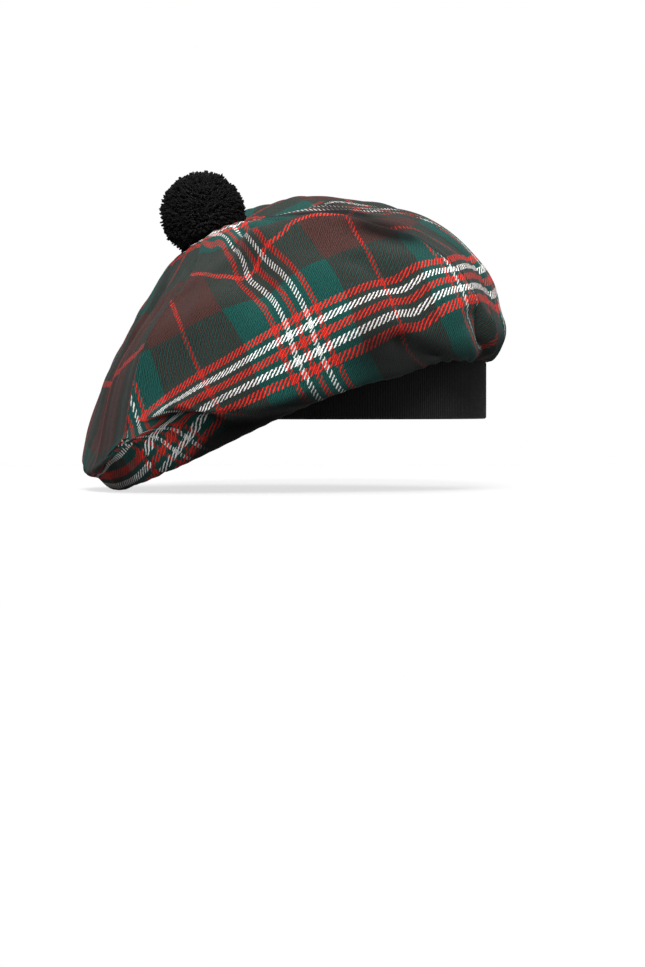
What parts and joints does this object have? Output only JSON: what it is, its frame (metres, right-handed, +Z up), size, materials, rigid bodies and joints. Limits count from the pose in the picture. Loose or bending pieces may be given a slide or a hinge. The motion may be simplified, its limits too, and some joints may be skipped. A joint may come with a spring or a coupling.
{
  "type": "tam o shanter",
  "caption": "Tartan tam o shanter with a wide six-gore crown hanging to one side, a black ribbed headband and a black yarn pompom.",
  "frame": {"origin": "centre of the headband's bottom plane, where a head holds the hat", "axes": "+Z up out of the head, -Y to the front; the crown hangs to -X"},
  "size_m": [0.2635, 0.2643, 0.195],
  "materials": {
    "tartan_cloth": "matte twill",
    "black_knit": "ribbed knit",
    "dark_satin": "satin",
    "black_yarn": "cut yarn"
  },
  "bodies": {
    "root": {"crown_panel_1": "tartan_cloth", "crown_panel_2": "tartan_cloth", "crown_panel_3": "tartan_cloth", "crown_panel_4": "tartan_cloth", "crown_panel_5": "tartan_cloth", "crown_panel_6": "tartan_cloth", "headband": "black_knit", "lining": "dark_satin", "pompom": "black_yarn"}
  },
  "joints": []
}
